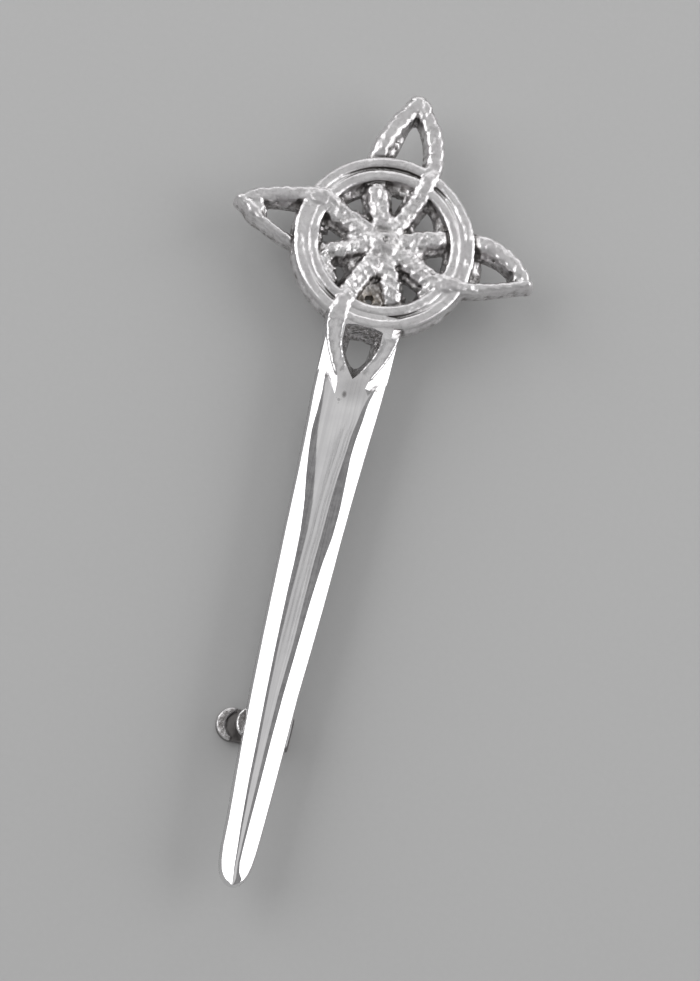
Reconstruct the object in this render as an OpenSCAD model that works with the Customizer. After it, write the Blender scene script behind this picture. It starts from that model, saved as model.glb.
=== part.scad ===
// A cast kilt pin that lies face up on its own fittings.
// The head is a banded ring crossed by a knot of eight strands, and a long bevelled blade hangs
// from it. Millimetres, +Z out of the front, +Y towards the head, Z = 0 under the fittings.

/* [Ring] */
// Radius of the opening inside the ring, at the front
ring_in_r = 7.1; // [6:0.1:8]
// Outer radius of the ring, at the front
ring_out_r = 9.75; // [9:0.05:11]
// Thickness of the ring, from its back to the tops of its two bands
ring_t = 2.6; // [2:0.1:4]
// Width of the groove between the two bands
groove_w = 0.35; // [0.2:0.05:0.8]
// Depth of the groove below the tops of the bands
groove_d = 0.5; // [0.2:0.05:0.9]
// How far each wall of the casting spreads from its front to its back
draft = 0.3; // [0.1:0.05:0.5]

/* [Knot] */
// Width of a strand in the top and side lobes
strand_w = 1.9; // [1.4:0.1:2.4]
// Thickness of a strand in the lobes
strand_t = 2.5; // [2:0.1:3.5]
// Width of a spoke
spoke_w = 1.6; // [1.2:0.05:2]
// Thickness of a spoke
spoke_t = 2.3; // [1.8:0.1:3]
// Angle between a strand and the axis of its own lobe
spoke_angle = 21; // [19:0.5:24]
// How far a strand stands above the ring where it passes over
over_rise = 0.3; // [0.15:0.05:1]
// How far a strand lies below the tops of the bands where it passes under
under_drop = 0.9; // [0.4:0.1:1.4]
// From the ring's centre to the tip of the top lobe
top_reach = 17.5; // [15:0.1:20]
// From the ring's centre to the tip of each side lobe
side_reach = 16.5; // [14:0.1:19]
// From the ring's centre to the tip of the lobe that lies on the blade
hilt_reach = 17.6; // [16:0.1:20]
// Width of a strand in the lobe that lies on the blade
hilt_strand_w = 1.4; // [1:0.1:1.8]
// Radius of the hub
hub_r = 2.15; // [1.8:0.05:2.6]
// Thickness of the hub
hub_t = 2.9; // [2.4:0.1:3.5]
// Radius of the dimple in the hub
dimple_r = 0.45; // [0.2:0.05:0.8]
// Thickness of the metal left between the spokes near the hub
web_t = 1.9; // [1.2:0.1:2.2]
// Thickness of the thin floor that closes the lowest hole of the wheel
floor_t = 1.2; // [0.8:0.1:1.6]
// Radius of the small hole left in that floor
floor_hole_r = 0.4; // [0.2:0.05:0.6]
// From the ring's centre to that small hole
floor_hole_y = 6.3; // [5:0.1:6.6]

/* [Blade] */
// From the ring's centre to the point of the blade
blade_l = 70.3; // [60:0.5:80]
// Width of the blade where it meets the ring
blade_w = 7.6; // [6:0.1:9]
// Thickness of the blade at its middle panel
blade_t = 2.5; // [1.8:0.1:3.5]
// Slope of the two bevels
bevel_angle = 28; // [15:1:33]
// Slope of the narrow strip along each side of the middle panel
strip_angle = 9; // [3:1:15]
// Width of the pointed hole through the blade, inside its lobe
hilt_hole_w = 3.9; // [3:0.1:4.4]

/* [Fittings] */
// Height of the blade's back above what the pin lies on
fit_h = 4.2; // [3.4:0.1:5.5]
// From the ring's centre to the top edge of the block that holds the stem
block_from = 15; // [14.5:0.1:18]
// Length of that block, along the blade
block_l = 3.8; // [3:0.1:5]
// Width of that block
block_w = 4.6; // [3.5:0.1:5.5]
// Diameter of the stem
stem_d = 1.1; // [0.8:0.05:1.5]
// Height of the stem's axis above what the pin lies on
stem_z = 1.6; // [1.4:0.05:2]
// Length of the stem's ground point
point_l = 4; // [2:0.5:7]
// How far the stem's point reaches past the catch
stem_past = 1; // [0.5:0.1:2]
// From the ring's centre to the middle of the catch
catch_y = 53.4; // [48:0.1:56]
// Width of the catch, along the blade
catch_w = 3.5; // [2.8:0.1:4.5]
// Thickness of the catch's metal
catch_t = 0.6; // [0.4:0.05:0.8]
// How far the catch's lower arm stands out to the left of the blade's axis
lower_reach = 5.3; // [4.5:0.1:6.5]
// How far its upper arm stands out, on the same side
upper_reach = 3.45; // [2.8:0.1:4.2]
// How far its bend stands out to the right
bend_reach = 2.5; // [2.2:0.1:3.2]
// Height of the lip at the end of the lower arm
lip_h = 0.5; // [0.2:0.05:0.8]
// Thickness of the foot that joins the catch to the blade
foot_t = 1.1; // [0.8:0.1:1.6]
// Gap between pieces that meet
fit_gap = 0.05; // [0.02:0.01:0.1]

/* [Hidden] */

silver = [0.80, 0.80, 0.81];
wire = [0.70, 0.71, 0.73];
bite = 0.3; // how far joined forms run into each other

// The knot's four lobes. Angles are anticlockwise from +X, and the side lobes lean a little.
LOBES = [ // [angle of the axis, reach of the tip, strand width]
    [-1.5, side_reach, strand_w],
    [89.5, top_reach, strand_w],
    [176, side_reach, strand_w],
    [270, hilt_reach, hilt_strand_w],
];
function lobe_angle(lobe) = lobe[0];
function lobe_reach(lobe) = lobe[1];
function lobe_w(lobe) = lobe[2];

// Metal left at the inner end of each of the wheel's holes, anticlockwise from the right-hand hole.
WEB_REACH = [0.61, 0.39, 0.48, 0.35, 0.61, 0.54, 0.83, 0.49]; // shares of the ring's inner radius

// The blade from the ring to its point. The collar is the stretch under the lobe, where the panel
// is cut back to the strands and the bevels widen into scoops.
BLADE = [ // [place along the blade, half width, half width of the panel], shares of blade_l and blade_w / 2
    [0.114, 1.000, 0.86],
    [0.170, 0.985, 0.74],
    [0.199, 0.975, 0.60],
    [0.228, 0.965, 0.48],
    [0.246, 0.955, 0.38],
    [0.257, 0.948, 0.71],
    [0.327, 0.882, 0.62],
    [0.412, 0.818, 0.49],
    [0.498, 0.772, 0.42],
    [0.569, 0.738, 0.34],
    [0.683, 0.660, 0.27],
    [0.797, 0.580, 0.185],
    [0.882, 0.512, 0.11],
    [0.939, 0.440, 0.066],
    [0.967, 0.365, 0.042],
    [0.986, 0.240, 0.03],
    [1.000, 0.060, 0.012],
];
function at_y(row) = -row[0] * blade_l;
function at_half(row) = row[1] * blade_w / 2;
function at_panel(row) = row[2] * blade_w / 2;

ring_mid_r = (ring_in_r + ring_out_r) / 2;
ring_half = (ring_out_r - ring_in_r) / 2;
band_half = (ring_half - groove_w / 2) / 2;
ring_y = (blade_l - top_reach) / 2; // puts the origin at the middle of the whole length
lobe_belly = 0.51; // how far a lobe's sides run straight on, as a share of its length past the ring
strip_share = 0.28; // width of each strip, as a share of the panel's half width
turn = 5; // turns round forms so that their corners stay clear of the lines that cross them
point_share = 0.2; // diameter of the end of the stem's point, as a share of the stem's
slice_t = 0.05; // thickness of the slices that a hull spans
boss_rise = 0.06; // how far the boss at a lobe's tip stands above its two strands

// Half of a strand's outline, from its back to its crown: [share of half width, share of thickness].
CROWN = [[1, 0], [0.97, 0.45], [0.86, 0.74], [0.62, 0.92], [0.28, 0.99]];
STRAND_SECTION = concat(CROWN, [for (i = [len(CROWN) - 1:-1:0]) [-CROWN[i][0], CROWN[i][1]]]);

function mix(a, b, t) = a + (b - a) * t;
function clamp(t) = max(0, min(1, t));
function polar(r, angle) = [r * cos(angle), r * sin(angle)];
function bezier(a, b, c, t) = (1 - t) * (1 - t) * a + 2 * t * (1 - t) * b + t * t * c;

// A strand's centre line in its lobe's own frame: a spoke from the hub to the ring, then one curve
// to the tip that leaves along the spoke.
SPOKE_STEPS = 3;
LOBE_STEPS = 13;
foot = polar(ring_in_r, spoke_angle);
function lobe_bend(lobe) = foot + polar(lobe_belly * (lobe_reach(lobe) - ring_out_r), spoke_angle);
function lobe_tip(lobe) = [lobe_reach(lobe) - lobe_w(lobe) / 2, 0];
function strand_path(lobe) =
    concat(
        [for (i = [0:SPOKE_STEPS - 1]) polar(mix(hub_r / 3, ring_in_r, i / SPOKE_STEPS), spoke_angle)],
        [for (i = [0:LOBE_STEPS]) bezier(foot, lobe_bend(lobe), lobe_tip(lobe), i / LOBE_STEPS)]
    );
// Angle at which a lobe's two strands meet its axis
function lobe_lean(lobe) =
    let (run = lobe_tip(lobe) - lobe_bend(lobe))
    atan2(-run[1], run[0]);

// The bump that lifts or drops a strand at the ring: 1 over the ring's middle, 0 clear of it.
function at_ring(r) = pow(cos(90 * clamp(abs(r - ring_mid_r) / (ring_half + strand_w / 2))), 2);
function strand_top(r, over) =
    let (plain = r < ring_mid_r ? spoke_t : strand_t)
    mix(plain, over ? ring_t + over_rise : ring_t - under_drop, at_ring(r));
function strand_half(r, lobe) =
    mix(spoke_w, lobe_w(lobe), clamp((r - ring_in_r) / (ring_out_r - ring_in_r))) / 2;

// Joins rings of points, each as long as the next, into one closed solid.
module loft(rings) {
    n = len(rings[0]);
    last = len(rings) - 1;
    polyhedron(
        points = [for (ring = rings) each ring],
        faces = concat(
            [[for (j = [0:n - 1]) j]],
            [for (i = [0:last - 1], j = [0:n - 1])
                [i * n + j, (i + 1) * n + j, (i + 1) * n + (j + 1) % n, i * n + (j + 1) % n]],
            [[for (j = [n - 1:-1:0]) last * n + j]]
        )
    );
}

module strand(lobe, over) {
    path = strand_path(lobe);
    last = len(path) - 1;
    rings = [for (i = [0:last])
        let (
            here = path[i],
            ahead = path[min(i + 1, last)] - path[max(i - 1, 0)],
            side = [-ahead[1], ahead[0]] / norm(ahead),
            r = norm(here),
            half = strand_half(r, lobe),
            top = strand_top(r, over)
        )
        [for (p = STRAND_SECTION)
            let (across = here + side * p[0] * (half + draft / 2 * (1 - p[1])))
            [across[0], across[1], p[1] * top]]];
    loft(rings);
}

// One lobe with both of its strands and the boss that rounds its tip.
module lobe(lobe) {
    boss_r = lobe_w(lobe) / 2;
    boss_t = strand_t + boss_rise;
    rotate(lobe_angle(lobe)) {
        strand(lobe, false);
        mirror([0, 1, 0]) strand(lobe, true);
        translate([lobe_reach(lobe) - boss_r, 0, 0])
            rotate(turn) rotate_extrude($fn = 20)
                polygon(concat([[0, 0]], [for (p = CROWN) [p[0] * boss_r, p[1] * boss_t]], [[0, boss_t]]));
    }
}

// The ring's outline: sloping walls and two crowned bands.
function band(mid_r) = [for (a = [0:30:180]) [mid_r - band_half * cos(a), ring_t - groove_d * (1 - sin(a))]];
module ring() {
    rotate_extrude($fn = 80)
        polygon(concat(
            [[ring_out_r + draft, 0], [ring_in_r - draft, 0]],
            band(ring_in_r + band_half),
            band(ring_out_r - band_half)
        ));
}

// Metal between two neighbouring spokes, which rounds the inner end of the hole between them.
module web(k) {
    reach = WEB_REACH[k] * ring_in_r;
    hull() {
        cylinder(r = hub_r / 2, h = web_t, $fn = 12);
        for (side = [-1, 1])
            rotate(k * 45 + side * 22.5)
                translate([reach, 0, 0]) cylinder(r1 = draft, r2 = draft / 2, h = web_t, $fn = 8);
    }
}

// The lowest hole is closed by a thin sloping web, with only a small hole left in it.
module closed_hole() {
    difference() {
        hull() {
            cylinder(r = hub_r / 2, h = floor_t, $fn = 12);
            for (side = [-1, 1])
                rotate(270 + side * spoke_angle)
                    translate([ring_in_r, 0, 0]) cylinder(r = draft, h = floor_t / 2, $fn = 8);
        }
        translate([0, -floor_hole_y, -bite])
            cylinder(r1 = floor_hole_r, r2 = floor_hole_r * 2, h = floor_t + bite, $fn = 14);
    }
}

module hub() {
    difference() {
        intersection() {
            rotate(turn) scale([hub_r, hub_r, hub_t]) sphere(1, $fn = 26);
            cylinder(r = hub_r + bite, h = hub_t);
        }
        translate([0, dimple_r, hub_t]) sphere(dimple_r, $fn = 16);
    }
}

module wheel() {
    ring();
    hub();
    for (k = [0:7]) web(k);
    closed_hole();
}

module blade() {
    loft([for (row = BLADE)
        let (
            y = at_y(row),
            half = at_half(row),
            panel = at_panel(row),
            shoulder = panel * (1 - strip_share),
            border = blade_t - tan(strip_angle) * (panel - shoulder),
            edge = border - tan(bevel_angle) * (half - panel)
        )
        [
            [half + draft / 2, y, 0], [half, y, edge], [panel, y, border], [shoulder, y, blade_t],
            [-shoulder, y, blade_t], [-panel, y, border], [-half, y, edge], [-half - draft / 2, y, 0],
        ]]);
}

// The pointed hole through the blade inside its lobe, wide at the front and narrow at the back.
HILT_HOLE = [ // [place from the ring to the apex, half width], shares of that length and of hilt_hole_w / 2
    [0, 1],
    [0.5, 0.9],
    [0.75, 0.6],
    [1, 0],
];
hilt_hole_slope = 1.2; // how far its walls run in from the front to the back
module hilt_hole() {
    lobe = LOBES[3];
    start = ring_out_r - draft;
    apex = lobe_reach(lobe) - lobe_w(lobe) / 2 - lobe_w(lobe) / 2 / sin(lobe_lean(lobe));
    right = [for (row = HILT_HOLE) [row[1] * hilt_hole_w / 2, -mix(start, apex, row[0])]];
    left = [for (i = [len(right) - 2:-1:0]) [-right[i][0], right[i][1]]];
    hull()
        for (face = [[-bite, hilt_hole_slope], [blade_t + bite, 0]])
            translate([0, 0, face[0]])
                linear_extrude(slice_t)
                    offset(delta = -face[1], chamfer = true)
                        polygon(concat(right, left));
}

// One arm of the catch from above, with its round end to the left.
module arm_plan(reach) {
    hull() {
        translate([-reach + catch_w / 2, 0]) circle(r = catch_w / 2, $fn = 40);
        translate([bend_reach, 0]) square([bite, catch_w], center = true);
    }
}

// The catch from the end of the blade: two arms and the bend that joins them.
module catch_profile() {
    outer_r = fit_h / 2;
    bend_x = bend_reach - outer_r;
    inner_r = outer_r - catch_t;
    translate([bend_x, outer_r]) {
        intersection() {
            difference() {
                circle(r = outer_r, $fn = 48);
                circle(r = inner_r, $fn = 48);
            }
            translate([0, -outer_r]) square([outer_r, 2 * outer_r]);
        }
        for (arm = [[upper_reach, inner_r], [lower_reach, -outer_r]])
            translate([-arm[0] - bend_x, arm[1]]) square([arm[0] + bend_x + bite / 3, catch_t]);
    }
}

// The lip that runs round the end of the lower arm.
module lip() {
    translate([-lower_reach + catch_w / 2, 0, 0])
        difference() {
            cylinder(d = catch_w - fit_gap, h = catch_t + lip_h, $fn = 40);
            translate([0, 0, catch_t / 2]) cylinder(d = catch_w - 2 * catch_t, h = fit_h, $fn = 36);
            translate([0, -catch_w, catch_t / 2]) cube([catch_w, 2 * catch_w, fit_h]);
        }
}

module catch() {
    translate([0, -catch_y, -fit_h]) {
        intersection() {
            rotate([90, 0, 0]) linear_extrude(catch_w, center = true) catch_profile();
            union() {
                linear_extrude(fit_h / 2) arm_plan(lower_reach);
                translate([0, 0, fit_h / 2]) linear_extrude(fit_h / 2) arm_plan(upper_reach);
            }
        }
        lip();
    }
    // the foot that joins the upper arm to the blade
    translate([0, -catch_y, 0])
        cube([blade_w / 2, catch_w, foot_t], center = true);
}

module casting() {
    color(silver)
        translate([0, ring_y, fit_h]) {
            wheel();
            for (row = LOBES) lobe(row);
            difference() {
                blade();
                hilt_hole();
            }
            catch();
        }
}

module pin() {
    color(wire)
        translate([0, ring_y, 0]) {
            translate([-block_w / 2, -block_from - block_l, 0]) cube([block_w, block_l, fit_h - fit_gap]);
            translate([0, -block_from - block_l / 2, stem_z]) rotate([90, 0, 0]) {
                straight = catch_y + catch_w / 2 + stem_past - point_l - block_from - block_l / 2;
                cylinder(d = stem_d, h = straight, $fn = 48);
                translate([0, 0, straight])
                    cylinder(d1 = stem_d, d2 = stem_d * point_share, h = point_l, $fn = 48);
            }
        }
}

casting();
pin();
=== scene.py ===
"""Looks of a cast kilt pin: a banded ring crossed by a knot of strands, and a long bevelled blade.

The head is one soft-edged field, polygonized here. The blade is lofted with crisp edges. The catch is
a second small field. The three are joined into one solid, as the real casting is one piece.
Shapes are worked out in millimetres, with the ring's centre as origin and Z = 0 at the blade's back.
"""

import itertools
import math

import bmesh
import bpy
import numpy as np
from mathutils import Matrix, Vector


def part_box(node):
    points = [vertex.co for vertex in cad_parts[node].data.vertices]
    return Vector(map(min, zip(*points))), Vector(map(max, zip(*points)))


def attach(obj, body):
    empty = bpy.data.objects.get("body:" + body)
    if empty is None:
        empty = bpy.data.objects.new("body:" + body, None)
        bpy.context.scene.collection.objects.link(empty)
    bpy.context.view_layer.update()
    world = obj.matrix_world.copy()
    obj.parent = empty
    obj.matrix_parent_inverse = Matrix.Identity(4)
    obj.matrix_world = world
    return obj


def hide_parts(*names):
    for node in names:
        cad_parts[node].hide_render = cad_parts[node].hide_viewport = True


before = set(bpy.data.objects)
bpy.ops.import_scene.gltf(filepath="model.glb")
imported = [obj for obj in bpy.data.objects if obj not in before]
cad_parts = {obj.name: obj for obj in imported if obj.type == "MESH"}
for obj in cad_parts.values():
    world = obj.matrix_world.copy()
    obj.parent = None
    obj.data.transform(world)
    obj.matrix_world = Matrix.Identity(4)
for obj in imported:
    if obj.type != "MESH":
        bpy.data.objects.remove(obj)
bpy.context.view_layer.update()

MM = 0.001
PHOTO_H = 981

# Ring
RING_IN_R = 7.1
RING_OUT_R = 9.75
RING_MID_R = (RING_IN_R + RING_OUT_R) / 2
RING_HALF = (RING_OUT_R - RING_IN_R) / 2
RING_T = 2.6
GROOVE_W = 0.28
GROOVE_D = 0.5
BAND_HALF = (RING_HALF - GROOVE_W / 2) / 2
BAND_EDGE_R = 0.2
WORN_ARC = 58  # half the angle of the arcs at left and right where the groove is worn shallow
WORN_SHARE = 0.75  # of the groove's depth that is worn away there
DRAFT = 0.3  # how far an outer wall spreads from its front to its back
INNER_DRAFT = 0.5  # the same for a wall inside a hole
# Where the ring's walls slope more: angle, half width of the arc in degrees, by how much
INNER_SLOPES = [(90, 22, 0.5), (130, 22, 0.4), (33, 12, 0.5), (178, 12, 0.5)]
OUTER_SLOPES = [(-2, 13, 1.1)]

# Knot
STRAND_W = 1.9
STRAND_T = 2.5
SPOKE_T = 2.4
SPOKE_ANGLE = math.radians(21)
OVER_RISE = 0.25
UNDER_DROP = 0.9
CROSSING_HALF = 2.9  # how far from the ring's middle a strand starts to rise or fall
TOP_REACH = 17.5
SIDE_REACH = 16.5
HILT_REACH = 17.6
HILT_STRAND_W = 1.4
POINT_W = 0.9  # width of a side lobe's strands where they meet in its point
EDGE_R = 0.42  # radius along the strands' edges
HILT_EDGE_R = 0.18  # the same on the lobe that lies on the blade
CROWN = 0.13  # fall of a strand's top from its middle to its edges
HILT_CROWN = 0.05
HUB_R = 2.15
HUB_T = 2.75
DIMPLE_R = 0.32
LOBES = [  # angle of the axis in degrees, reach of the tip, strand width
    (-1.5, SIDE_REACH, STRAND_W),
    (89.2, TOP_REACH, STRAND_W),
    (176.0, SIDE_REACH, STRAND_W),
    (270.0, HILT_REACH, HILT_STRAND_W),
]
# For each lobe, its left and right strands: the spoke's angle from the lobe's axis, the spoke's width,
# how far the lobe's side runs straight on as a share of its length past the ring, the strand's width
# by the ring and near the tip, and how far its inner wall spreads to the back.
STRAND_TABLE = [
    ((22.0, 1.95, 0.80, 1.9, 1.9, 0.60), (22.8, 2.20, 0.30, 1.30, 1.0, 0.20)),
    ((19.8, 2.25, 0.55, 1.8, 1.9, 0.90), (22.8, 1.85, 0.78, 1.9, 1.9, 0.25)),
    ((25.5, 1.75, 0.52, 0.95, 1.0, 0.20), (18.5, 2.30, 0.45, 1.7, 1.7, 0.60)),
    ((21.0, 2.00, 0.62, 1.7, 1.5, 0.20), (22.5, 2.10, 0.68, 1.9, 1.5, 0.20)),
]

# Blade
BLADE_L = 70.3
BLADE_W = 7.6
BLADE_T = 2.5
BEVEL_ANGLE = math.radians(28)
STRIP_ANGLE = math.radians(9)
HILT_HOLE_W = 3.9

# Fittings
CATCH_Y = 53.4
CATCH_W = 3.5
CATCH_T = 0.6
LOWER_REACH = 5.3
UPPER_REACH = 3.45
BEND_REACH = 2.5
LIP_H = 0.5
LIP_IN_R = 1.6  # radius of the lip's inner edge
LIP_SHIFT = 0.8  # of that edge's middle to the right
FIT_GAP = 0.05

# Where the ring's centre and the blade's back lie in the frame
RING_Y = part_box("casting")[1].y / MM - TOP_REACH
FIT_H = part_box("pin")[1].z / MM + FIT_GAP

# Grid pitches
HEAD_PITCH = 0.15
CATCH_PITCH = 0.13


def to_frame(points):
    """Millimetres about the ring's centre to metres in the frame."""
    return (np.asarray(points, float) + (0, RING_Y, FIT_H)) * MM


def clamp(t):
    return np.clip(t, 0, 1)


def mix(a, b, t):
    return a + (b - a) * t


def smooth(t):
    t = clamp(t)
    return t * t * (3 - 2 * t)


def fade(value, start, end):
    """0 up to start, 1 from end on, and an S curve between. start may be the larger of the two."""
    return smooth((value - start) / (end - start))


def polar(r, angle):
    return np.array([r * math.cos(angle), r * math.sin(angle)])


def turned(x, y, angle):
    """Coordinates of (x, y) in a frame turned by angle."""
    c, s = math.cos(angle), math.sin(angle)
    return x * c + y * s, y * c - x * s


# Smooth seeded noise
NOISE_CELLS = 32


def noise(points, pitch, seed):
    """Values between -1 and 1, with bumps about pitch mm apart. pitch may differ by axis."""
    lattice = np.random.default_rng(seed).uniform(-1, 1, (NOISE_CELLS,) * 3)
    q = points / np.asarray(pitch, float)
    cell = np.floor(q).astype(int)
    t = q - cell
    t = t * t * (3 - 2 * t)
    total = np.zeros(len(points))
    for corner in itertools.product((0, 1), repeat=3):
        i, j, k = ((cell + corner) % NOISE_CELLS).T
        weight = np.where(corner, t, 1 - t).prod(axis=1)
        total += weight * lattice[i, j, k]
    return total


def noises(points, *rows):
    """The sum of several noises, given as height, pitch and seed."""
    return sum(height * noise(points, pitch, seed) for height, pitch, seed in rows)


# Fields: negative inside, positive outside, about a distance in mm
FAR = 9.0


def soft_min(a, b, k):
    """The smaller of two fields, with a fillet of about k where they meet."""
    h = clamp(0.5 + 0.5 * (b - a) / k)
    return mix(b, a, h) - k * h * (1 - h)


def soft_max(a, b, k):
    return -soft_min(-a, -b, k)


def ledge(depth):
    """How far a rough wall has spread at a share of its depth: most of it at a ledge half way down."""
    return 0.3 * clamp(depth) + 0.7 * fade(depth, 0.36, 0.62)


def bar(u, z, half, top, spread, round_r, wobble=0.0, crown=CROWN):
    """A strand's section: a slightly crowned top, rounded edges, and walls that spread to the back."""
    wall = half + spread * ledge(clamp(1 - z / top) + wobble)
    fall = crown * np.minimum(1, (u / half) ** 2)
    across = np.abs(u) - wall + round_r
    up = z - top + fall + round_r
    outside = np.hypot(np.maximum(across, 0), np.maximum(up, 0))
    return outside + np.minimum(np.maximum(across, up), 0) - round_r


# The knot's strands
PATH_STEPS = 15


def strand_path(lobe, side, lean, belly):
    """Points of a strand's centre line: a spoke at its own angle, then one curve to the lobe's tip."""
    angle, reach, width = lobe
    foot = polar(RING_IN_R, SPOKE_ANGLE)
    bend = foot + polar(belly * (reach - RING_OUT_R), SPOKE_ANGLE)
    tip = np.array([reach - (POINT_W if reach == SIDE_REACH else width) / 2, 0])
    t = np.linspace(0, 1, PATH_STEPS)[:, None]
    curve = (1 - t) ** 2 * foot + 2 * t * (1 - t) * bend + t * t * tip
    spoke = [polar(r, math.radians(lean)) for r in (HUB_R / 3, RING_IN_R - 0.5)]
    path = np.vstack([spoke, curve[1:]])
    path[:, 1] *= side
    x, y = turned(path[:, 0], path[:, 1], -math.radians(angle))
    return np.stack([x, y], axis=1)


def strand(lobe, side, row):
    lean, spoke_w, belly, foot_w, end_w, spread = row
    reach = lobe[1]
    return dict(
        path=strand_path(lobe, side, lean, belly), side=side, over=side < 0, reach=reach, spread=spread,
        spoke_w=spoke_w, foot_w=foot_w, end_w=end_w, point_w=POINT_W if reach == SIDE_REACH else end_w,
        on_blade=reach == HILT_REACH,
    )


STRANDS = [
    strand(lobe, side, row) for lobe, rows in zip(LOBES, STRAND_TABLE) for side, row in zip((1, -1), rows)
]


def near(path, x, y):
    """Distance to a path, the side of it, the way along it, and the nearest point's radius."""
    start, step = path[:-1], np.diff(path, axis=0)
    length = np.hypot(*step.T)
    dx, dy = x[:, None] - start[:, 0], y[:, None] - start[:, 1]
    t = clamp((dx * step[:, 0] + dy * step[:, 1]) / length ** 2)
    dx, dy = dx - t * step[:, 0], dy - t * step[:, 1]
    gap = dx * dx + dy * dy
    best = gap.argmin(axis=1)
    row = np.arange(len(x))
    t, dx, dy = t[row, best], dx[row, best], dy[row, best]
    along = (np.cumsum(length) - length)[best] + t * length[best]
    side = np.sign(step[best, 0] * dy - step[best, 1] * dx)
    return np.sqrt(gap[row, best]), side, along, np.hypot(x - dx, y - dy)


HILT_LIFT = 0.05  # of the lobe on the blade, past the ring
HILT_SINK = 0.3  # of that lobe's tip, into the blade


def strand_section(strand, r):
    """Half width and height of a strand at a distance r from the ring's centre."""
    across_ring = (r - RING_IN_R) / (RING_OUT_R - RING_IN_R)
    half = mix(strand["spoke_w"], strand["foot_w"], clamp(across_ring)) / 2
    half = mix(half, strand["end_w"] / 2, fade(r, RING_OUT_R + 0.5, RING_OUT_R + 4.0))
    half = mix(half, strand["point_w"] / 2, fade(r, strand["reach"] - 2.4, strand["reach"] - 0.4))
    plain = mix(SPOKE_T, STRAND_T, smooth(across_ring))
    crossing = RING_T + OVER_RISE if strand["over"] else RING_T - UNDER_DROP
    bump = np.cos(np.pi / 2 * clamp(np.abs(r - RING_MID_R) / CROSSING_HALF)) ** 2
    top = mix(plain, crossing, bump)
    if strand["on_blade"]:
        lift = mix(HILT_LIFT, -HILT_SINK, fade(r, HILT_REACH - 2.9, HILT_REACH - 1.2))
        top = top + lift * fade(r, RING_OUT_R, RING_OUT_R + 1.0)
    return half, top


# The head
WEBS = [  # metal left between the spokes: angle of the hole's axis in degrees, reach, height at its end
    (0, 4.4, 2.1),
    (45, 2.9, 2.0),
    (88, 3.4, 2.1),
    (132, 2.6, 2.0),
    (180, 4.0, 2.0),
    (224, 4.5, 1.2),
    (307, 3.2, 2.0),
    (270, 3.6, 2.2),
]
MOUNDS = [  # metal in the corners of the holes: x, y, angle in degrees, half length, half width, height
    (-5.6, -4.2, -53, 2.0, 0.95, 2.3),
    (5.85, -4.25, 52, 1.3, 0.75, 2.3),
    (3.5, -6.4, 10, 0.8, 0.55, 1.8),
    (-14.1, 0.4, -62, 1.15, 0.95, 2.42),
    (15.0, 0.25, 75, 0.95, 0.8, 2.35),
    (0.5, 16.3, -25, 1.3, 1.0, 2.48),
]
SECTOR_SIDE = 0.42  # half width of the space between two spokes, over the distance outwards
FLOOR_T = 1.25
FLOOR_HOLE = (-0.1, -6.25)
FLOOR_HOLE_R = 0.36

# Fillets where the head's forms meet
FRONT_FILLET = 0.16
BACK_FILLET = 0.5
MOUND_FILLET = 0.4
HUB_FILLET = 0.35
WEB_FILLET = 0.25
RING_FILLET = 0.12
HOLE_FILLET = 0.15


def web_field(x, y, z, row):
    angle, reach, height = row
    u, v = turned(x, y, math.radians(angle))
    end = u - reach - 0.4 * np.clip(1 - z / height, 0, 1)
    sector = np.maximum(end, np.abs(v) - SECTOR_SIDE * u - 0.2)
    top = z - mix(HUB_T - 0.5, height, clamp(u / reach))
    return soft_max(np.maximum(sector, -u), top, 0.4)


def mound_field(x, y, z, row):
    middle_x, middle_y, angle, length, width, height = row
    u, v = turned(x - middle_x, y - middle_y, math.radians(angle))
    outline = (np.hypot(u / length, v / width) - 1) * width - DRAFT * clamp(1 - z / height)
    return soft_max(outline, z - height, 0.5)


def hub_field(x, y, z):
    """A flattened lump."""
    size = ((x ** 2 + y ** 2) / HUB_R ** 2) ** 1.5 + (np.clip(z, 0, None) / HUB_T) ** 3
    return ((size + 1e-9) ** (1 / 3) - 1) * HUB_R


def floor_field(x, y, z):
    """The thin floor of the lowest hole in the wheel."""
    sector = np.maximum(np.abs(x) - SECTOR_SIDE * np.abs(y), np.maximum(-y - RING_IN_R, y + HUB_R))
    return np.maximum(sector, z - FLOOR_T)


def slope_at(angle, rows):
    return sum(extra * np.exp(-((angle - middle) / width) ** 2) for middle, width, extra in rows)


def ring_field(x, y, r, z, wobble):
    angle = np.degrees(np.arctan2(y, x))
    streaked_shade = np.exp(-((np.abs(np.abs(angle) - 90) - 90) / WORN_ARC) ** 4)
    slab_top = RING_T - GROOVE_D * (1 - WORN_SHARE * streaked_shade)
    depth = np.clip(1 - z / (RING_T - GROOVE_D), 0, 1)
    inner = INNER_DRAFT + slope_at(angle, INNER_SLOPES)
    outer = DRAFT + slope_at(angle, OUTER_SLOPES)
    inward = RING_MID_R - r - RING_HALF - inner * ledge(depth + wobble)
    outward = r - RING_MID_R - RING_HALF - outer * ledge(depth + wobble)
    field = np.maximum(np.maximum(inward, outward), z - slab_top)
    for mid_r in (RING_IN_R + BAND_HALF, RING_OUT_R - BAND_HALF):
        field = soft_min(field, bar(r - mid_r, z, BAND_HALF, RING_T, 0, BAND_EDGE_R), 0.06)
    return field


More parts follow.
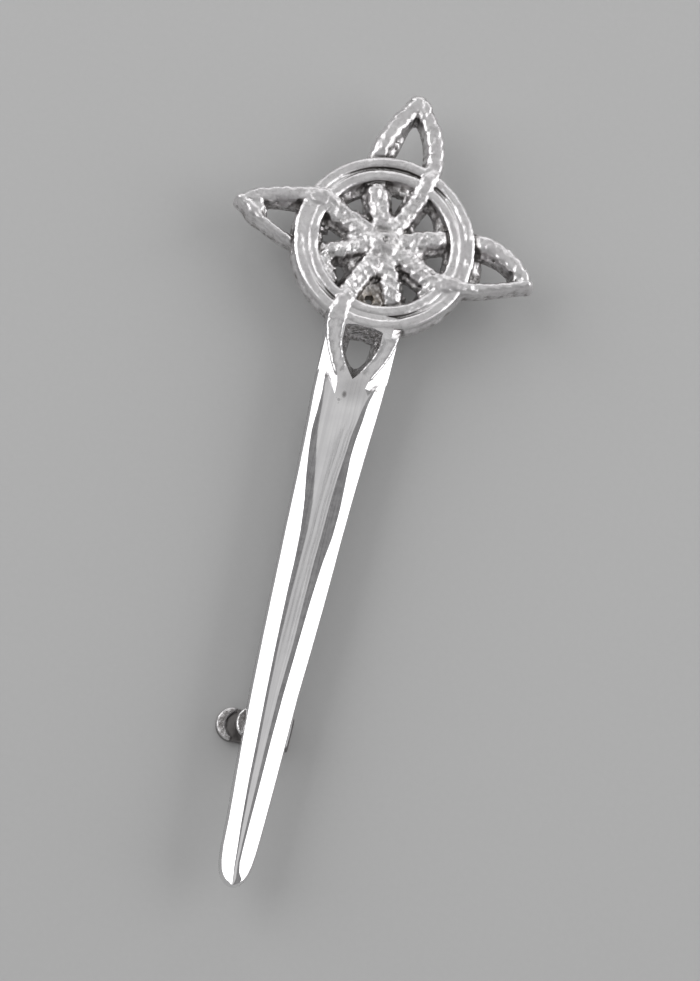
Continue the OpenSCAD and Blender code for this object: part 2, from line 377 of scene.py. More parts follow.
def strand_plan(strand, x, y):
    """Where places in plan lie on a strand, and its section there."""
    gap, side, along, r = near(strand["path"], x, y)
    half, top = strand_section(strand, r)
    in_lobe = fade(r, RING_MID_R, RING_OUT_R)
    to_tip = fade(r, strand["reach"] - 6.0, strand["reach"] - 2.0)
    facing_out = side * strand["side"] > 0
    inner = strand["spread"] * (1 - 0.8 * to_tip)
    on_blade = in_lobe if strand["on_blade"] else 0.0
    return dict(
        gap=gap, side=side, along=along, half=half, top=top,
        spread=mix(INNER_DRAFT, np.where(facing_out, DRAFT / 2, inner), in_lobe),
        round_r=mix(EDGE_R, HILT_EDGE_R, on_blade), crown=mix(CROWN, HILT_CROWN, on_blade),
    )


def head_plan(x, y):
    """What the head's field uses of places in plan."""
    place = np.stack([x, y, np.zeros_like(x)], axis=1)
    wobble = noises(place, (0.16, 0.9, 11), (0.10, 0.4, 12))
    strands = [strand_plan(strand, x, y) for strand in STRANDS]
    return dict(x=x, y=y, r=np.hypot(x, y), wobble=wobble, strands=strands)


def head_field(plan, z):
    """The head's surface, without its fine relief."""
    x, y, r, wobble = plan["x"], plan["y"], plan["r"], plan["wobble"]
    fillet = mix(FRONT_FILLET, BACK_FILLET, clamp(1 - z / RING_T))
    field = np.full(np.broadcast(x, z).shape, FAR)
    for s in plan["strands"]:
        section = bar(s["gap"], z, s["half"], s["top"], s["spread"], s["round_r"], wobble, s["crown"])
        field = soft_min(field, section, fillet)
    for row in MOUNDS:
        field = soft_min(field, mound_field(x, y, z, row), MOUND_FILLET)
    field = soft_min(field, hub_field(x, y, z), HUB_FILLET)
    for row in WEBS:
        field = soft_min(field, web_field(x, y, z, row), WEB_FILLET)
    field = soft_min(field, floor_field(x, y, z), WEB_FILLET)
    hole = np.hypot(x - FLOOR_HOLE[0], y - FLOOR_HOLE[1]) - FLOOR_HOLE_R - 0.1 * np.clip(z, 0, None)
    field = soft_max(field, -hole, HOLE_FILLET)
    field = soft_min(field, ring_field(x, y, r, z, wobble), RING_FILLET)
    dimple = np.sqrt(x ** 2 + (y - DIMPLE_R) ** 2 + (z - HUB_T) ** 2) - DIMPLE_R
    field = soft_max(field, -dimple, HOLE_FILLET)
    return soft_max(field, -z, 0.08)


# Fine relief of the head, in mm
ROPE_PITCH = 1.3  # of the notches in the strands' edges
ROPE_DEPTH = 0.09
ROPE_LEAN = 0.35
TWIST_PITCH = 1.1  # of the slanting ridges across the spokes
TWIST_HEIGHT = 0.11
TWIST_LEAN = -0.55
STRAND_OFFSET = 9.0  # between the grain of one strand and the next


def rope(along, lean, across, pitch, bend):
    """Narrow ridges, 1 at their crests, that slant across a strand."""
    turn = 2 * np.pi * (along / pitch + lean * across) + bend
    return (0.5 + 0.5 * np.cos(turn)) ** 3


def strand_relief(points, plan, in_wheel):
    """Notched edges, hammered dimples, ridges and grain on the strands, and lumps on the hub."""
    share = np.array([s["gap"] / s["half"] for s in plan["strands"]])
    best = share.argmin(axis=0)
    row = np.arange(len(points))
    u = share[best, row]
    gap, side, along = (
        np.array([s[key] for s in plan["strands"]])[best, row] for key in ("gap", "side", "along")
    )
    on_hub = fade(plan["r"], 3.2, 1.6)
    notch = rope(along, ROPE_LEAN, side * u, ROPE_PITCH, 1.5 * noise(points, 2.5, 2))
    ridge = rope(along, TWIST_LEAN, side * u, TWIST_PITCH, 1.6 * noise(points, 2.2, 13))
    low_half = mix(0.25, 1.0, fade(plan["y"], 3.5, -1.5))
    hammered = noises(points, (mix(0.06, 0.10, in_wheel), 1.05, 3), (mix(0.05, 0.075, in_wheel), 0.5, 4))
    hammered += 0.09 * on_hub * noise(points, 0.75, 9)
    hammered += TWIST_HEIGHT * low_half * in_wheel * (1 - on_hub) * ridge
    place = np.stack([along, side * gap + STRAND_OFFSET * best, points[:, 2]], axis=1)
    grain = mix(0.04, 0.12, in_wheel) * noise(place, (1.6, 0.42, 1.5), 8) * fade(u, 1.1, 0.8)
    return hammered - ROPE_DEPTH * notch * fade(u, 0.2, 0.8) + grain * (1 - on_hub)


def ring_relief(points, plan):
    """Streaks along the ring, stronger at left and right."""
    angle = np.arctan2(plan["y"], plan["x"])
    place = np.stack([plan["r"], angle * RING_MID_R, points[:, 2]], axis=1)
    streaks = mix(0.03, 0.07, np.cos(angle) ** 2) * noise(place, (0.45, 2.6, 1.5), 7)
    return streaks + 0.03 * noise(points, 0.8, 10)


def head_relief(points, plan):
    """The strands' relief, the ring's where nothing lies over it, and rough walls further back."""
    z = points[:, 2]
    on_ring = fade(np.abs(plan["r"] - RING_MID_R), RING_HALF + 0.4, RING_HALF)
    over = on_ring * fade(z, RING_T + 0.02, RING_T - 0.08)
    in_wheel = fade(plan["r"], RING_IN_R + 0.4, RING_IN_R - 0.4)
    past_ring = fade(plan["r"], RING_OUT_R, RING_OUT_R + 0.8)
    on_hilt = past_ring * (plan["y"] < 0) * (np.abs(plan["x"]) < BLADE_W / 2)
    low = fade(z, 1.9, 1.2)
    rough = noises(points, (0.06, (1.1, 1.1, 0.32), 5), (0.045, 0.33, 6))
    strands = strand_relief(points, plan, in_wheel) * (1 - 0.75 * on_hilt)
    relief = mix(strands, ring_relief(points, plan), over * (1 - low))
    return (relief + rough * low) * fade(z, 0, 0.3)


# Turning a field into a mesh
SETTLE_ROUNDS = 2
SLOPE_STEP = 0.02
LEAST_SLOPE = 0.05
MOVE_LIMIT = 0.15


def surface_net(values, origin, pitch):
    """Vertices and quads of the zero surface of a field given on a grid."""
    cells = np.array(values.shape) - 1
    total = np.zeros((*cells, 3))
    count = np.zeros(cells, int)
    inside = values < 0
    crossings = []
    for axis in range(3):
        others = [a for a in range(3) if a != axis]
        low = [slice(None)] * 3
        low[axis] = slice(-1)
        crosses = np.diff(inside, axis=axis)
        fall = np.where(crosses, -np.diff(values, axis=axis), 1)
        place = np.where(crosses, values[tuple(low)] / fall, 0)
        crossings.append(crosses)
        for corner in itertools.product((0, 1), repeat=2):
            part = [slice(None)] * 3
            for other, step in zip(others, corner):
                part[other] = slice(step, cells[other] + step)
            hit = crosses[tuple(part)]
            count += hit
            total[..., axis] += place[tuple(part)]
            total[..., others] += hit[..., None] * np.array(corner)
    used = count > 0
    index = np.full(cells, -1)
    index[used] = np.arange(used.sum())
    vertices = total[used] / count[used][:, None] + np.argwhere(used)
    quads = []
    unit = np.eye(3, dtype=int)
    for axis in range(3):
        u, v = (axis + 1) % 3, (axis + 2) % 3
        at = np.argwhere(crossings[axis])
        at = at[(at[:, u] > 0) & (at[:, v] > 0) & (at[:, u] < cells[u]) & (at[:, v] < cells[v])]
        around = ((-1, -1), (0, -1), (0, 0), (-1, 0))
        ring = [index[tuple((at + du * unit[u] + dv * unit[v]).T)] for du, dv in around]
        quad = np.stack(ring, axis=1)
        outward = inside[tuple(at.T)]
        quad[~outward] = quad[~outward][:, ::-1]
        quads.append(quad)
    return vertices * pitch + origin, np.vstack(quads)


def settle(points, plan_of, field_of, relief_of):
    """Moves points along a field's gradient onto its surface, with its relief."""
    step = SLOPE_STEP
    for _ in range(SETTLE_ROUNDS):
        x, y, z = points.T
        plan = plan_of(x, y)
        value = field_of(plan, z) - relief_of(points, plan)
        slope = np.stack([
            field_of(plan_of(x + step, y), z) - field_of(plan_of(x - step, y), z),
            field_of(plan_of(x, y + step), z) - field_of(plan_of(x, y - step), z),
            field_of(plan, z + step) - field_of(plan, z - step),
        ], axis=1) / (2 * step)
        size = np.maximum((slope ** 2).sum(axis=1), LEAST_SLOPE)
        move = -slope * (value / size)[:, None]
        reach = np.linalg.norm(move, axis=1)
        points = points + move * np.minimum(1, MOVE_LIMIT / np.maximum(reach, 1e-9))[:, None]
    return points


def field_surface(box, pitch, plan_of, field_of, relief_of):
    """Vertices and quads of a field's surface, with its relief."""
    axes = [np.arange(a, b + pitch, pitch) for a, b in zip(*box)]
    x, y = (a.ravel() for a in np.meshgrid(axes[0], axes[1], indexing="ij"))
    plan = plan_of(x, y)
    layers = [field_of(plan, np.full(len(x), z)) for z in axes[2]]
    values = np.stack(layers, axis=1).reshape([len(axis) for axis in axes])
    vertices, quads = surface_net(values, box[0], pitch)
    return settle(vertices, plan_of, field_of, relief_of), quads


def new_object(name, data):
    obj = bpy.data.objects.new(name, data)
    bpy.context.scene.collection.objects.link(obj)
    return obj


def mesh_object(name, vertices, faces):
    mesh = bpy.data.meshes.new(name)
    mesh.from_pydata(to_frame(vertices).tolist(), [], [list(map(int, f)) for f in faces])
    mesh.update()
    return new_object(name, mesh)


def edit(obj, *changes):
    """Makes changes to an object's mesh."""
    bm = bmesh.new()
    bm.from_mesh(obj.data)
    for change in changes:
        change(bm)
    bm.to_mesh(obj.data)
    bm.free()


def merge_doubles(bm):
    bmesh.ops.remove_doubles(bm, verts=bm.verts, dist=0.001 * MM)


def face_outwards(bm):
    bmesh.ops.recalc_face_normals(bm, faces=bm.faces)


def loft_faces(rings, count):
    """Faces of a closed body through rings of count points each."""
    ring = list(range(count))
    faces = [ring]
    last = (rings - 1) * count
    for start in range(0, last, count):
        for j, k in zip(ring, ring[1:] + ring[:1]):
            faces.append([start + j, start + count + j, start + count + k, start + k])
    return faces + [[last + j for j in ring[::-1]]]


# The box in which the head's field is worked out
HEAD_BOX = (
    (-SIDE_REACH - 0.6, -HILT_REACH - 0.6, -0.4),
    (SIDE_REACH + 0.7, TOP_REACH + 0.6, RING_T + OVER_RISE + 0.4),
)


def make_head():
    return mesh_object("head", *field_surface(HEAD_BOX, HEAD_PITCH, head_plan, head_field, head_relief))


# The blade
# Distance from the ring's centre; the blade's middle, which bows a little, and its half width; the
# panel's left and right borders; and the widths of the sloping strips along them.
BLADE = [
    (8.0, 0.00, 3.80, -3.35, 3.35, 0.10, 0.10),
    (14.0, 0.00, 3.70, -3.08, 3.05, 0.10, 0.10),
    (16.0, -0.03, 3.66, -2.95, 2.70, 0.12, 0.15),
    (18.0, -0.05, 3.61, -2.84, 2.22, 0.22, 0.38),
    (20.0, -0.06, 3.50, -2.88, 2.06, 0.40, 0.54),
    (22.0, -0.08, 3.40, -2.98, 1.82, 0.60, 0.60),
    (24.0, -0.10, 3.31, -2.82, 1.70, 0.76, 0.62),
    (27.0, -0.13, 3.18, -2.45, 1.80, 0.92, 1.00),
    (30.0, -0.17, 3.08, -1.97, 1.88, 0.86, 1.22),
    (33.0, -0.20, 2.99, -1.68, 1.74, 0.70, 1.15),
    (36.0, -0.20, 2.91, -1.57, 1.35, 0.55, 0.90),
    (40.0, -0.22, 2.80, -1.55, 1.05, 0.45, 0.68),
    (45.0, -0.27, 2.62, -1.45, 0.80, 0.32, 0.50),
    (50.0, -0.32, 2.41, -1.30, 0.55, 0.30, 0.50),
    (55.0, -0.28, 2.24, -1.10, 0.38, 0.30, 0.42),
    (60.0, -0.20, 2.03, -0.93, 0.28, 0.26, 0.34),
    (64.0, -0.15, 1.84, -0.70, 0.17, 0.20, 0.26),
    (66.5, -0.17, 1.75, -0.50, 0.12, 0.14, 0.20),
    (68.0, -0.17, 1.60, -0.40, 0.12, 0.10, 0.18),
    (69.0, -0.16, 1.36, -0.30, 0.30, 0.05, 0.26),
    (69.6, -0.14, 1.06, -0.22, 0.72, 0.04, 0.62),
    (70.0, -0.13, 0.70, -0.17, 0.48, 0.02, 0.42),
    (70.3, -0.12, 0.20, -0.14, -0.02, 0.01, 0.04),
]
STROKES = (0.26, 0.52, 1.10)  # polishing grooves in the panel: how far each lies from its right-hand strip
STROKE_W = 0.16
STROKE_D = 0.013
EDGE_ROUND = 0.12  # radius along the blade's outer edges
CREASE_ROUND = 0.05  # radius along the panel's borders
CORNER_ROOM = 2.2  # a side's length over an arc's longest reach
CORNER_STEPS = 3
BLADE_START = BLADE[0][0]
BLADE_STEPS = 80
POINT_START = 68.0  # from here on the sections lie closer together
POINT_STEPS = 15
THIN_START = 67.5  # from where the blade gets thinner
THIN_SHARE = 0.03  # of its thickness, lost at the tip


def blade_rows(place):
    """The columns of BLADE after the first, at distances from the ring's centre."""
    table = np.array(BLADE)
    return [np.interp(place, table[:, 0], column) for column in table[:, 1:].T]


def rounded_corner(before, corner, after, radius):
    """Points of a small arc in place of a corner, as a quadratic curve."""
    back, ahead = before - corner, after - corner
    lengths = np.linalg.norm(back), np.linalg.norm(ahead)
    reach = min(radius, min(lengths) / CORNER_ROOM)
    a = corner + back / lengths[0] * reach
    b = corner + ahead / lengths[1] * reach
    steps = np.linspace(0, 1, CORNER_STEPS + 1)
    return [(1 - t) ** 2 * a + 2 * t * (1 - t) * corner + t * t * b for t in steps]


def stroke_place(stroke, part, left_flat, right_flat):
    """Where a groove's right edge (part -1), middle (0) or left edge (1) lies across the panel's flat."""
    fit = np.minimum(1, (right_flat - left_flat) / (STROKES[-1] + 2 * STROKE_W))
    return right_flat - fit * (stroke + part * STROKE_W / 2)


def stroke_share(place):
    """How strong the polishing grooves are at a distance from the ring's centre."""
    return fade(place, 19, 22) * fade(place, 52, 42)


def blade_section(row, top):
    """The blade's outline across, round from the middle of its back."""
    place, middle, half, left, right, left_strip, right_strip = row
    flat = (left + left_strip, right - right_strip)
    corners = [(middle, 0, 0)]
    for side, border, strip in ((1, right, right_strip), (-1, left, left_strip)):
        out = middle + side * half
        border_z = top - math.tan(STRIP_ANGLE) * strip
        edge_z = border_z - math.tan(BEVEL_ANGLE) * abs(out - border)
        corners += [
            (out + side * DRAFT / 2, 0, EDGE_ROUND), (out, edge_z, EDGE_ROUND),
            (border, border_z, CREASE_ROUND), (border - side * strip, top, CREASE_ROUND * 3),
        ][::side]
        if side > 0:
            depth = STROKE_D * stroke_share(place)
            for stroke in STROKES:
                corners += [(stroke_place(stroke, i, *flat), top - depth * (i == 0), 0) for i in (-1, 0, 1)]
    points = [np.array(c[:2]) for c in corners]
    outline = []
    for i, (_, _, radius) in enumerate(corners):
        if radius:
            outline += rounded_corner(points[i - 1], points[i], points[(i + 1) % len(points)], radius)
        else:
            outline.append(points[i])
    return outline


def make_blade():
    turn = np.linspace(0, np.pi / 2, POINT_STEPS + 1)[1:]
    even = np.linspace(BLADE_START, POINT_START, BLADE_STEPS + 1)
    sections = []
    for place in np.concatenate([even, POINT_START + (BLADE_L - POINT_START) * np.sin(turn)]):
        tip = clamp((place - THIN_START) / (BLADE_L - THIN_START))
        outline = blade_section([place] + blade_rows(place), BLADE_T * (1 - THIN_SHARE * tip ** 2))
        sections.append([(p[0], -place, p[1]) for p in outline])
    faces = loft_faces(len(sections), len(sections[0]))
    blade = mesh_object("blade", np.array(sections).reshape(-1, 3), faces)
    edit(blade, face_outwards)
    return blade


# The scoops: flanks cut down between the lobe on the blade and the blade's edges.
# Places are (down the blade, out).
SCOOP_CREST = [(8.6, 3.1), (10.5, 3.0), (12.0, 2.72), (13.0, 2.42), (14.3, 2.0), (15.3, 1.78), (16.4, 1.52)]
SCOOP_CORNER = (15.3, 3.15)  # where the scoop's lower edge meets the bevel
SCOOP_DROP = 0.14  # of the scoop's floor below the panel, along the lobe
SCOOP_PAST = 4.4  # how far out the cutter reaches
SCOOP_GAP = 0.02  # between corners that would fall together
SCOOP_TIPS = [(-1, 17.7, 1.5), (1, 17.1, 1.95)]  # side, and where the scoop ends


def scoop_rows(tip_y, tip_x):
    """Rows across a scoop: place down the blade, where its floor starts and ends, and its height."""
    corner_y, corner_x = SCOOP_CORNER
    rows = []
    for down, out in SCOOP_CREST:
        past = max(0.0, (down - corner_y) / (tip_y - corner_y))
        reach = SCOOP_PAST if past == 0 else mix(corner_x, tip_x, past)
        top = BLADE_T - SCOOP_DROP * (1 - past)
        rows.append((down, out, reach, top))
        if down == corner_y:
            rows.append((down + SCOOP_GAP, out, corner_x, top))
    return rows


def scoop_cutter(side, tip_y, tip_x):
    rows = scoop_rows(tip_y, tip_x)
    inner = [(out, -down, top) for down, out, _, top in rows]
    inner.append((tip_x - SCOOP_GAP, -tip_y, BLADE_T))
    outer = [(reach, -down, top - math.tan(BEVEL_ANGLE) * (reach - out)) for down, out, reach, top in rows]
    outer.append((tip_x + SCOOP_GAP, -tip_y, BLADE_T))
    n = len(inner)
    floor = [(side * x, y, z) for x, y, z in inner + outer]
    vertices = floor + [(x, y, BLADE_T + 1) for x, y, z in floor]
    faces = []
    for i in range(n - 1):
        quad = [i, i + 1, n + i + 1, n + i]
        faces += [quad, [2 * n + v for v in quad[::-1]]]
    rim = list(range(n)) + list(range(2 * n - 1, n - 1, -1))
    faces += [[a, 2 * n + a, 2 * n + b, b] for a, b in zip(rim, rim[1:] + rim[:1])]
    cutter = mesh_object("scoop", vertices, faces)
    edit(cutter, face_outwards)
    return cutter


# The pointed hole inside the lobe on the blade
HOLE_TOP_Y = -9.6
HOLE_MIDDLE_Y = -12.3
# Half width, upper end, lower end, and how full the sides are, at the blade's back and at its front
HOLE_BACK = np.array([1.12, -10.6, -13.75, 3.0])
HOLE_FRONT = np.array([HILT_HOLE_W / 2 + 0.1, HOLE_TOP_Y, -15.75, 1.7])
HOLE_LEVELS = 16
HOLE_POINTS = 120
HOLE_ROUND = 0.05  # share of the length in which the upper end rounds off
HOLE_TAPER = 0.3  # share of the length from which it narrows


def hole_ring(z):
    """The hole's outline at a height: rounded at its upper end, and narrowing to a point."""
    half, top, foot, fullness = mix(HOLE_BACK, HOLE_FRONT, clamp(z / BLADE_T))
    ring = []
    for angle in np.linspace(0, 2 * np.pi, HOLE_POINTS, endpoint=False):
        s, c = math.sin(angle), math.cos(angle)
        v = 0.5 - 0.5 * s
        width = half * (1 - clamp((v - HOLE_TAPER) / (1 - HOLE_TAPER)) ** fullness)
        width *= math.sqrt(min(1, v / HOLE_ROUND))
        ring.append((math.copysign(width, c) if abs(c) > 1e-9 else 0.0, mix(top, foot, v), z))
    return ring


def hole_cutter():
    """A body that cuts the hole, wide in front, with rough sloping walls."""
    heights = np.linspace(-0.5, BLADE_T + 1.2, HOLE_LEVELS)
    vertices = np.array([hole_ring(z) for z in heights]).reshape(-1, 3)
    out = vertices - (0, HOLE_MIDDLE_Y, 0)
    out[:, 2] = 0
    out /= np.linalg.norm(out, axis=1)[:, None]
    deep = fade(vertices[:, 2], BLADE_T - 0.1, BLADE_T - 0.8)
    lumps = noises(vertices, (0.13, (0.8, 0.8, 0.4), 31), (0.07, 0.4, 32))
    vertices += out * (deep * lumps)[:, None]
    cutter = mesh_object("hole", vertices, loft_faces(HOLE_LEVELS, HOLE_POINTS))
    edit(cutter, merge_doubles, face_outwards)
    return cutter


# The C-shaped catch on the blade's back, with the lip round the end of its lower arm
CATCH_OUT_R = FIT_H / 2
BEND_X = BEND_REACH - CATCH_OUT_R
LIP_X = CATCH_W / 2 - LOWER_REACH
ARM_END = 0.2  # how far inside an arm's reach its end starts to round
FOOT_HALF = 2.2
FOOT_DEPTH = 0.5  # of the foot in the blade
CATCH_EDGE_R = 0.22
LIP_EDGE_R = 0.2
FOOT_FILLET = 0.3
CATCH_BOX = (
    (-LOWER_REACH - 0.4, -CATCH_Y - CATCH_W / 2 - 0.4, -FIT_H - 0.4),
    (BEND_REACH + 0.5, -CATCH_Y + CATCH_W / 2 + 0.4, 0.9),
)


def catch_plan(x, y):
    return dict(x=x, y=y + CATCH_Y)


def bent_strip(x, y, up):
    """A strip of metal bent to a C, whose arms have round ends."""
    arc = np.abs(np.hypot(x - BEND_X, up - CATCH_OUT_R) - (CATCH_OUT_R - CATCH_T / 2))
    lower = np.hypot(np.minimum(x + LOWER_REACH - ARM_END, 0), up - CATCH_T / 2)
    upper = np.hypot(np.minimum(x + UPPER_REACH - ARM_END, 0), up - FIT_H + CATCH_T / 2)
    strip = np.where(x > BEND_X, arc, np.minimum(lower, upper)) - CATCH_T / 2
    middle = CATCH_W / 2 - np.where(up < CATCH_OUT_R, LOWER_REACH, UPPER_REACH)
    outline = np.where(x < middle, np.hypot(x - middle, y), np.abs(y)) - CATCH_W / 2
    return soft_max(strip, outline, CATCH_EDGE_R)


def inside_lip(x, y):
    """How far a place in plan lies inside the lip's crescent outline."""
    end_x = x - LIP_X
    from_rim = CATCH_W / 2 - np.hypot(end_x, y)
    from_edge = np.hypot(end_x - LIP_SHIFT, y) - LIP_IN_R
    return np.minimum(from_rim, from_edge)


def catch_field(plan, z):
    x, y = plan["x"], plan["y"]
    up = z + FIT_H
    lip_half = (CATCH_T + LIP_H) / 2
    outline = np.maximum(-inside_lip(x, y), x - LIP_X)
    lip = soft_max(outline, np.abs(up - lip_half) - lip_half, LIP_EDGE_R)
    field = soft_min(bent_strip(x, y, up), lip, LIP_EDGE_R)
    sides = np.maximum(np.abs(y) - CATCH_W / 2 + 0.05, np.abs(z) - FOOT_DEPTH)
    return soft_min(field, np.maximum(np.abs(x) - FOOT_HALF, sides), FOOT_FILLET)


def catch_relief(points, plan):
    return noises(points, (0.015, 0.35, 21), (0.02, 0.9, 22))


def make_catch():
    vertices, quads = field_surface(CATCH_BOX, CATCH_PITCH, catch_plan, catch_field, catch_relief)
    vertices[:, 2] = np.maximum(vertices[:, 2], -FIT_H)
    return mesh_object("catch", vertices, quads)


# The casting
SHARP_ANGLE = math.radians(32)
FLAT_ANGLE = math.radians(12)
FLAT_AREA = 0.12  # square mm, from which a face is a flat


def combine(target, other, operation):
    """Joins or cuts with a Boolean, and deletes the other object."""
    modifier = target.modifiers.new(operation, "BOOLEAN")
    modifier.operation = operation
    modifier.solver = "MANIFOLD"
    modifier.object = other
    graph = bpy.context.evaluated_depsgraph_get()
    mesh = bpy.data.meshes.new_from_object(target.evaluated_get(graph))
    target.modifiers.clear()
    target.data = mesh
    bpy.data.objects.remove(other)


def sharpen_flats(bm):
    """Keeps large flat faces from shading softly into what adjoins them."""
    for edge in bm.edges:
        if len(edge.link_faces) == 2 and edge.calc_face_angle(0) > FLAT_ANGLE:
            if max(face.calc_area() for face in edge.link_faces) > FLAT_AREA * MM * MM:
                edge.smooth = False


def make_casting():
    """Blade, head and catch in one solid, with the scoops and the hole cut out of the blade."""
    casting = make_blade()
    for side, tip_y, tip_x in SCOOP_TIPS:
        combine(casting, scoop_cutter(side, tip_y, tip_x), "DIFFERENCE")
    combine(casting, hole_cutter(), "DIFFERENCE")
    combine(casting, make_head(), "UNION")
    combine(casting, make_catch(), "UNION")
    casting.name = "kilt_pin_casting"
    for polygon in casting.data.polygons:
        polygon.use_smooth = True
    casting.data.set_sharp_from_angle(angle=SHARP_ANGLE)
    edit(casting, sharpen_flats)
    return casting


# Point attributes for the material, among them where shade is painted
PAINTED = ("cast", "recess", "cavity", "stain", "wheel", "strip")
CAVITY_STEPS = (0.3, 0.6, 1.0, 1.5)  # mm out from the surface
CAVITY_GAIN = 1.5
HEAD_END_Y = -17
ROUGH_Y = (-10.2, -9.4)  # where the polished blade gives way to the rough head
LOBE_CAST = 0.4  # how rough the lobe on the blade is
FRONT_DEPTH = 0.5  # below the blade's top, where its front ends
STRIP_Y = (-17.5, -19.5)  # where the strips begin
# painted shade along the middle of each polishing groove, against that of the strips
STROKE_TONE = 0.7  # of the grooves against the strips
STROKE_LINE = 0.015  # half width of a groove's toned line
STAIN_PLACE = (-0.1, -6.1)
STAIN_SPREAD = 2.2
CATCH_EDGE_X = -2.66  # left of it the catch shows beside the blade
SHADED_Z = -1  # above it the catch is close behind the blade
LIP_SHADE = 0.62
ARM_SHADE = 0.8


def cavity(points, normals):
    """How closely other parts of the head crowd round a point, from 0 to 1, which sets painted shade in its
    crevices.
    """
    crowd = np.zeros(len(points))
    for step in CAVITY_STEPS:
        x, y, z = (points + normals * step).T
        crowd += clamp(1 - head_field(head_plan(x, y), z) / step)
    return clamp(crowd / len(CAVITY_STEPS) * CAVITY_GAIN)


def rough_share(p, on_head):
    """1 where the metal is as cast, 0 where it is polished."""
    x, y, z = p.T
    cast = fade(y, *ROUGH_Y)
    plan = head_plan(x[on_head], y[on_head])
    off_strand = np.min([s["gap"] - s["half"] for s in plan["strands"]], axis=0)
    on_lobe = LOBE_CAST * fade(off_strand, 0.12, -0.08) * fade(y[on_head], -16.6, -15.0)
    cast[on_head] = np.maximum(cast[on_head], on_lobe)
    return np.maximum(cast, fade(z, -0.05, -0.25))


def recess_share(p, on_head, crowd):
    """How deep a place lies in one of the holes or behind the blade, from 0 to 1; the material paints shade
    there.
    """
    x, y, z = p.T
    in_blade = (np.abs(x) < HOLE_FRONT[0] + 0.05) * (y < HOLE_TOP_Y) * on_head
    hemmed_in = mix(0.3, 1.0, fade(crowd, 0.04, 0.20))
    in_wheel = fade(z, 1.5, 0.6) * hemmed_in * (y > HOLE_TOP_Y)
    recess = np.maximum(in_wheel, fade(z, BLADE_T - 0.1, BLADE_T - 0.4) * in_blade)
    return np.maximum(recess, fade(z, -0.4, -0.9))


def shade_catch(p, recess, crowd):
    """Recess and cavity on the catch, for painted shade from the blade: dark arms, a lighter painted shade
    on the lip's face, and a rim left bright.
    """
    x, y, z = p[:, 0], p[:, 1] + CATCH_Y, p[:, 2]
    on_catch = (np.abs(y) < CATCH_W / 2 + 0.2) & (z < np.where(x < CATCH_EDGE_X, 0.15, -0.02))
    on_lip = (z > CATCH_T + 0.2 - FIT_H) & (x < -UPPER_REACH - 0.1)
    on_rim = (z > SHADED_Z) & (np.hypot(x + UPPER_REACH - CATCH_W / 2, y) > CATCH_W / 2 - 0.14)
    on_face = on_lip * fade(inside_lip(x, y), 0.1, 0.25)
    shade = np.where(on_lip, LIP_SHADE * on_face, ARM_SHADE * ~on_rim)
    dull = on_lip * mix(0.25, 1.0, on_face) + 0.4 * (z > SHADED_Z)
    return np.where(on_catch, dull, recess), np.maximum(crowd, shade * on_catch)


def strip_share(p):
    """1 where shade is painted on the blade: on the strips along the panel's borders, and less on the
    middles of its grooves.
    """
    x, y, z = p.T
    _, _, left, right, left_strip, right_strip = blade_rows(-y)
    on_left = (x > left - 0.01) & (x < left + left_strip + 0.02)
    on_right = (x < right + 0.01) & (x > right - right_strip - 0.02)
    on_front = z > BLADE_T - FRONT_DEPTH
    strip = (on_left | on_right) * fade(y, *STRIP_Y) * on_front
    for stroke in STROKES:
        off = np.abs(x - stroke_place(stroke, 0, left + left_strip, right - right_strip))
        strip = np.maximum(strip, STROKE_TONE * (off < STROKE_LINE) * stroke_share(-y) * on_front)
    return strip


def stain_share(p):
    """1 in the middle of the brown stain in the lowest opening."""
    gap = (p[:, 0] - STAIN_PLACE[0]) ** 2 + (p[:, 1] - STAIN_PLACE[1]) ** 2
    return np.exp(-gap / STAIN_SPREAD) * fade(p[:, 2], 2.1, 1.5)


def vertex_rows(obj, name):
    """Places or normals of the vertices, a row for each."""
    values = np.zeros(len(obj.data.vertices) * 3, np.float32)
    obj.data.vertices.foreach_get(name, values)
    return values.reshape(-1, 3)


def paint(obj):
    p = vertex_rows(obj, "co") / MM - (0, RING_Y, FIT_H)
    on_head = p[:, 1] > HEAD_END_Y
    crowd = np.zeros(len(p))
    crowd[on_head] = cavity(p[on_head], vertex_rows(obj, "normal")[on_head])
    recess, crowd = shade_catch(p, recess_share(p, on_head, crowd), crowd)
    wheel = fade(np.hypot(p[:, 0], p[:, 1]), RING_IN_R + 0.3, RING_IN_R - 0.5)
    painted = (rough_share(p, on_head), recess, crowd, stain_share(p), wheel, strip_share(p))
    for name, values in zip(PAINTED, painted):
        attribute = obj.data.attributes.new(name, "FLOAT", "POINT")
        attribute.data.foreach_set("value", values.astype(np.float32))


